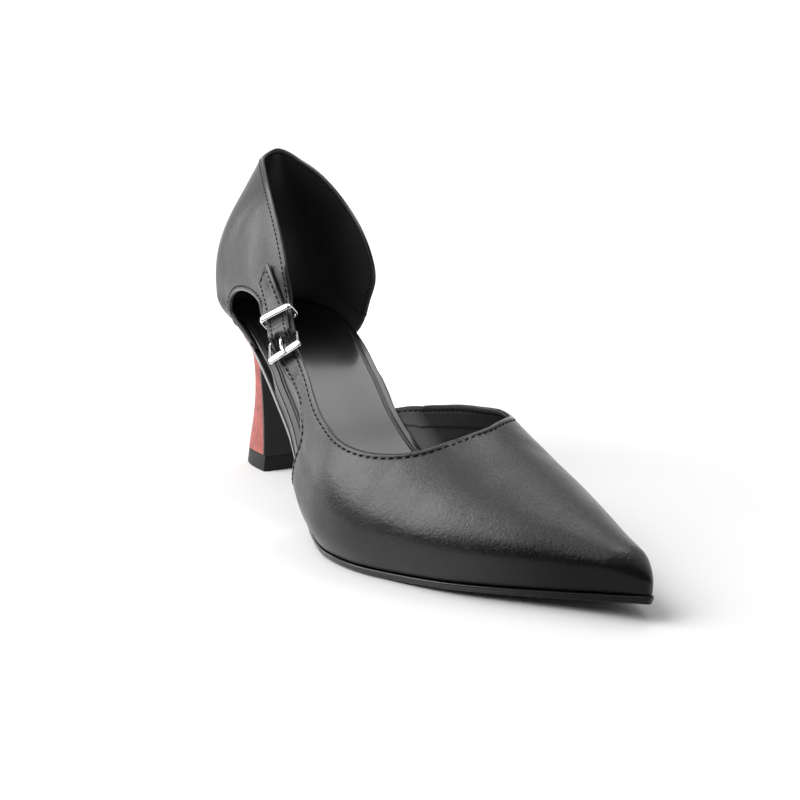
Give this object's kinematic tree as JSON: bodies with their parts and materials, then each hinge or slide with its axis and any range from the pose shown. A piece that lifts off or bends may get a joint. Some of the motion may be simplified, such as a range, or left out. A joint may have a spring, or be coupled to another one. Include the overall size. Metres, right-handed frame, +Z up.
{
  "type": "pump shoe",
  "caption": "Pointed pump with an open waist, a high heel cup, a buckled side strap and a flared block heel.",
  "frame": {"origin": "middle of the shoe's bounding box, at floor level", "axes": "+X towards the toe, +Y towards the inner (big toe) side, +Z up"},
  "size_m": [0.2472, 0.0816, 0.1418],
  "materials": {
    "outsole": "black, polished edge and smooth underside",
    "sock": "black smooth leather sock, satin",
    "upper": "black leather with a fine creased grain, soft gloss",
    "heel_cover": "coral cover, mottled, satin",
    "breast": "black smooth cover, satin",
    "top_piece": "black, matt",
    "metal": "polished silver-coloured metal"
  },
  "bodies": {
    "root": {"outsole": "outsole", "insole": "sock", "vamp": "upper", "quarter": "upper", "heel": "heel_cover", "heel_breast": "breast", "top_piece": "top_piece", "buckle_frame": "metal", "buckle_keeper": "metal", "buckle_prong": "metal"}
  },
  "joints": []
}
